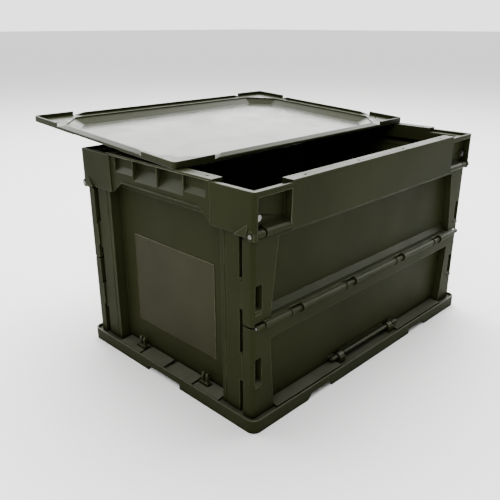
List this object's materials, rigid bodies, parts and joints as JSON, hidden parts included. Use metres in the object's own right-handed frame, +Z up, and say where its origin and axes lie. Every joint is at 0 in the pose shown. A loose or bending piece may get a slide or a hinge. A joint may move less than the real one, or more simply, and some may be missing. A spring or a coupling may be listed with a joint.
{
  "type": "folding crate with loose lid",
  "caption": "Open-topped moulded crate whose end walls swing inwards under the top frame, with hinged long walls and a loose stacking lid set askew on the rim.",
  "frame": {"origin": "centre of the base's underside, on its middle foot pad", "axes": "+Z up through the open mouth; X along the long walls, the end walls face -X and +X; the long walls face -Y and +Y, and the lid is pushed back towards +Y"},
  "size_m": [0.53, 0.4939, 0.3465],
  "materials": {
    "olive_plastic": "fine textured, olive drab",
    "wall_plastic": "fine textured, olive drab",
    "label_panel": "smooth satin patch of the same moulding",
    "pin_steel": "plain bright wire"
  },
  "bodies": {
    "crate": {"base_tray": "olive_plastic", "top_frame": "olive_plastic", "front_lower_wall": "wall_plastic", "front_upper_wall": "wall_plastic", "back_lower_wall": "wall_plastic", "back_upper_wall": "wall_plastic", "front_base_rod": "pin_steel", "back_base_rod": "pin_steel", "front_fold_rod": "pin_steel", "back_fold_rod": "pin_steel", "front_left_frame_pin": "pin_steel", "front_right_frame_pin": "pin_steel", "back_left_frame_pin": "pin_steel", "back_right_frame_pin": "pin_steel", "left_front_swing_pin": "pin_steel", "left_back_swing_pin": "pin_steel", "right_front_swing_pin": "pin_steel", "right_back_swing_pin": "pin_steel", "left_base_latches": "olive_plastic", "right_base_latches": "olive_plastic"},
    "left_end": {"left_end_wall": "wall_plastic", "left_label_plate": "label_panel"},
    "right_end": {"right_end_wall": "wall_plastic", "right_label_plate": "label_panel"},
    "lid": {"lid": "olive_plastic"}
  },
  "joints": [
    {"name": "left_end_swing", "type": "hinge", "parent": "crate", "child": "left_end", "pos_m": [-0.246, 0, 0.28], "axis": [0, -1, 0], "range_deg": [0, 88]},
    {"name": "right_end_swing", "type": "hinge", "parent": "crate", "child": "right_end", "pos_m": [0.246, 0, 0.28], "axis": [0, 1, 0], "range_deg": [0, 82.5]},
    {"name": "lid_lift", "type": "slide", "parent": "crate", "child": "lid", "axis": [0, 0, 1], "range_m": [0, 0.3]}
  ]
}
